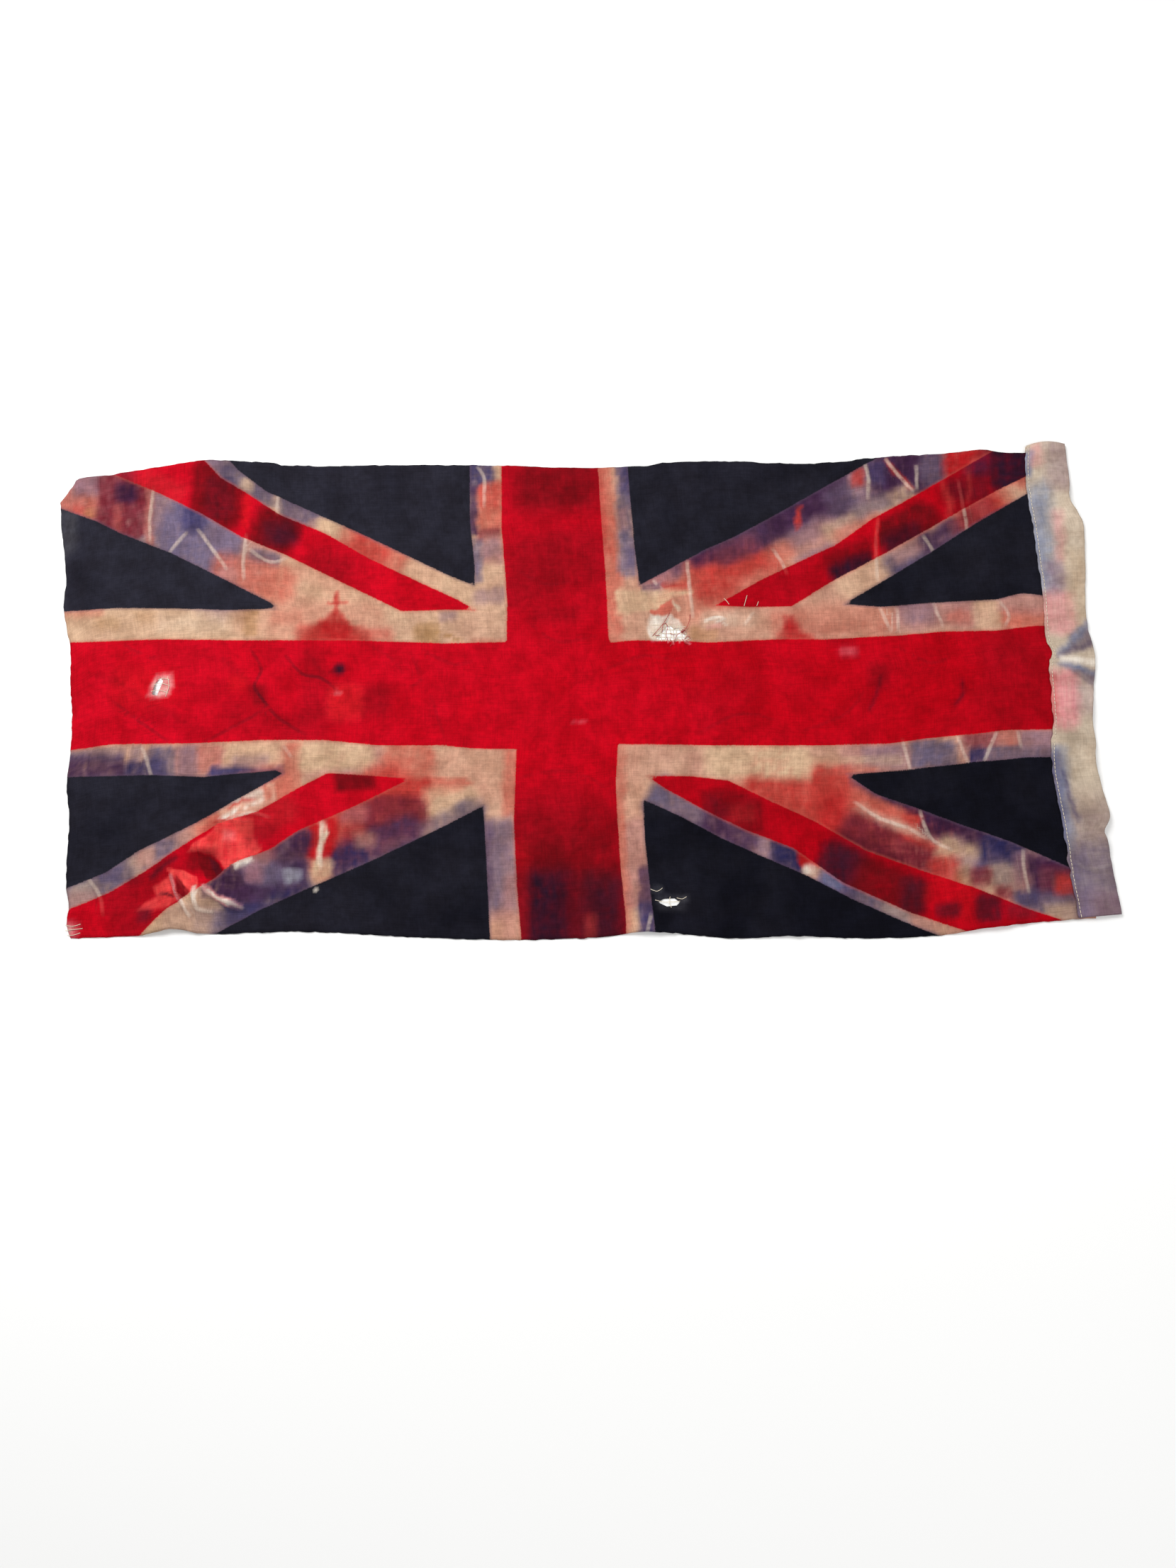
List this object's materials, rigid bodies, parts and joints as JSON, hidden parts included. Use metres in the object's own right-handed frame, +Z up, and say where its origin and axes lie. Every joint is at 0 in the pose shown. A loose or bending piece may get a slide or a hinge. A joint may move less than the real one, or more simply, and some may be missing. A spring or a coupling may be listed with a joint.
{
  "type": "laid-out tattered flag",
  "caption": "Worn printed cloth flag with a folded cotton heading, laid flat with creases, dye stains, holes and frayed threads.",
  "frame": {"origin": "on the surface the flag lies on, below the middle of its box", "axes": "+X along the flag towards the heading, +Y towards its top edge, +Z up off the surface"},
  "size_m": [0.9958, 0.4784, 0.0082],
  "materials": {
    "printed_cloth": "matt plain-woven cotton bunting printed red, white and navy, with run dye and stains",
    "heading_cotton": "matt cream cotton tape, aged and stained",
    "thread": "spun cotton sewing thread and loose warp and weft yarns"
  },
  "bodies": {
    "root": {"fly": "printed_cloth", "heading": "heading_cotton"}
  },
  "joints": []
}
